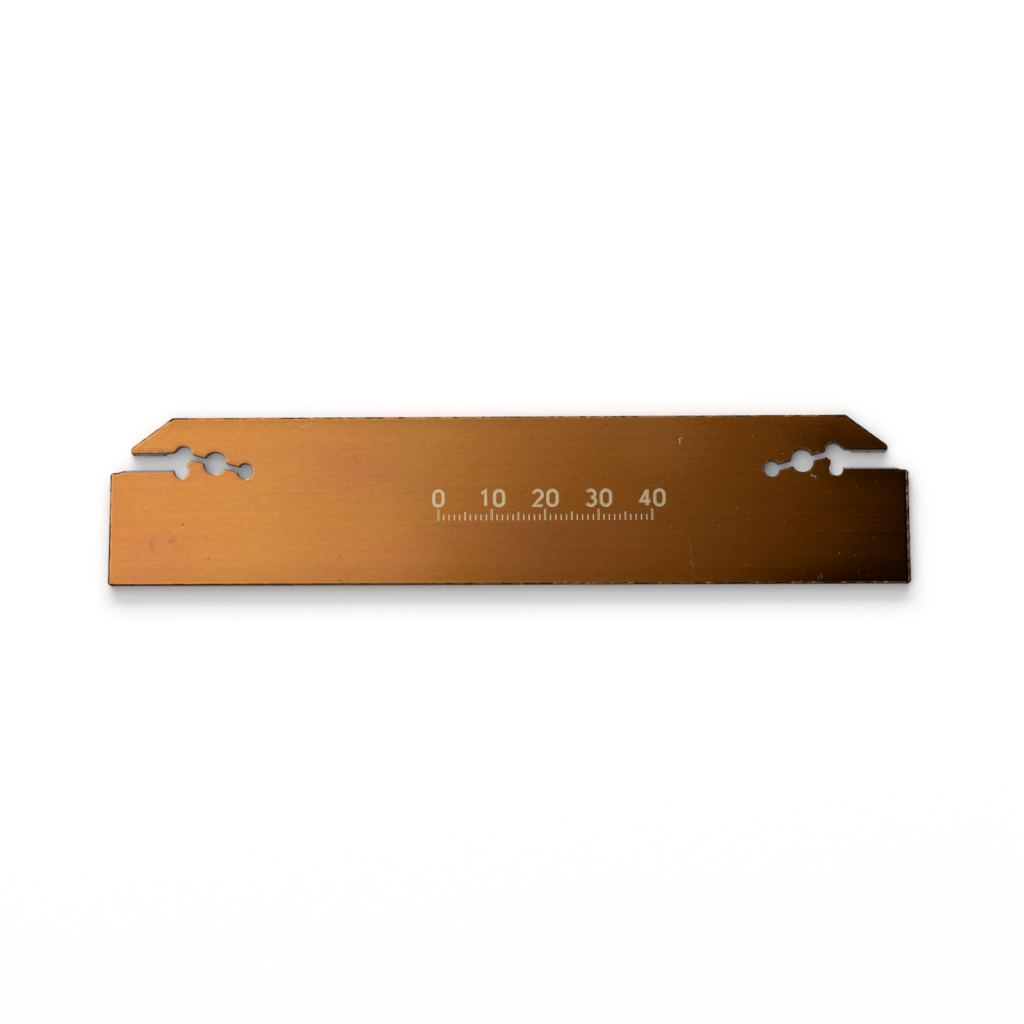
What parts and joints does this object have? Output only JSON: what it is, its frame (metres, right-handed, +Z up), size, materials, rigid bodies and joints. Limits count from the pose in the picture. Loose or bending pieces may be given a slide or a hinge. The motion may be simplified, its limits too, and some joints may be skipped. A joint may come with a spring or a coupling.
{
  "type": "parting blade holder",
  "caption": "Flat steel parting blade with vee-ground long edges, and spring-jaw pockets at its ends that grip a parting insert.",
  "frame": {"origin": "middle of the blade's length and height, on the side that it lies on", "axes": "+X along the blade, +Y from the solid lower edge towards the edge with the pockets, +Z up through the blade's thickness"},
  "size_m": [0.15, 0.032, 0.0017],
  "materials": {
    "coated_steel": "ground lengthwise, with a thin bronze-coloured hard coating"
  },
  "bodies": {
    "root": {"blade": "coated_steel"}
  },
  "joints": []
}
